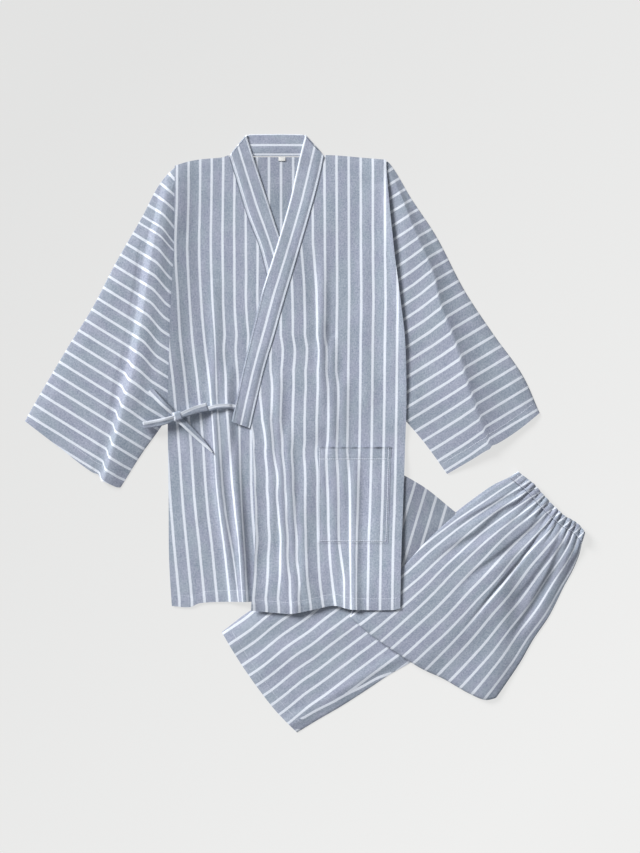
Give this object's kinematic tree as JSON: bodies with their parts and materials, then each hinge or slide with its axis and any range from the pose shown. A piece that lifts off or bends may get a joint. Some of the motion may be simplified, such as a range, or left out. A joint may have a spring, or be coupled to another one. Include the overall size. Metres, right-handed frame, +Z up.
{
  "type": "jinbei set",
  "caption": "Striped cotton jinbei laid flat: wrap jacket with open half sleeves, patch pocket and side bow over short trousers folded in half.",
  "frame": {"origin": "centre of the bounding box, on the floor plane that the set lies on", "axes": "+Z up out of the jacket's front, +Y towards the neck, +X towards the wearer's left side"},
  "size_m": [0.9805, 1.046, 0.017],
  "materials": {
    "jacket_back": "heathered plain-weave cotton, matt, with narrow white stripes",
    "jacket_front_right": "heathered plain-weave cotton, matt, with narrow white stripes",
    "jacket_front_left": "heathered plain-weave cotton, matt, with narrow white stripes",
    "pocket": "heathered plain-weave cotton, matt, with narrow white stripes",
    "neck_label": "plain white woven tape, blank",
    "collar": "heathered plain-weave cotton, matt, with narrow white stripes",
    "sleeve_left": "heathered plain-weave cotton, matt, with narrow white stripes",
    "sleeve_right": "heathered plain-weave cotton, matt, with narrow white stripes",
    "tie_knot": "heathered plain-weave cotton, matt, with narrow white stripes",
    "tie_loop_left": "heathered plain-weave cotton, matt, with narrow white stripes",
    "tie_loop_right": "heathered plain-weave cotton, matt, with narrow white stripes",
    "tie_tail_upper": "heathered plain-weave cotton, matt, with narrow white stripes",
    "tie_tail_lower": "heathered plain-weave cotton, matt, with narrow white stripes",
    "tie_strap": "heathered plain-weave cotton, matt, with narrow white stripes",
    "trouser_waistband": "heathered plain-weave cotton, matt, with narrow white stripes",
    "trouser_left_leg": "heathered plain-weave cotton, matt, with narrow white stripes",
    "trouser_right_leg": "heathered plain-weave cotton, matt, with narrow white stripes"
  },
  "bodies": {
    "root": {"jacket_back": "jacket_back", "jacket_front_right": "jacket_front_right", "jacket_front_left": "jacket_front_left", "pocket": "pocket", "neck_label": "neck_label", "collar": "collar", "sleeve_left": "sleeve_left", "sleeve_right": "sleeve_right", "tie_knot": "tie_knot", "tie_loop_left": "tie_loop_left", "tie_loop_right": "tie_loop_right", "tie_tail_upper": "tie_tail_upper", "tie_tail_lower": "tie_tail_lower", "tie_strap": "tie_strap", "trouser_waistband": "trouser_waistband", "trouser_left_leg": "trouser_left_leg", "trouser_right_leg": "trouser_right_leg"}
  },
  "joints": []
}
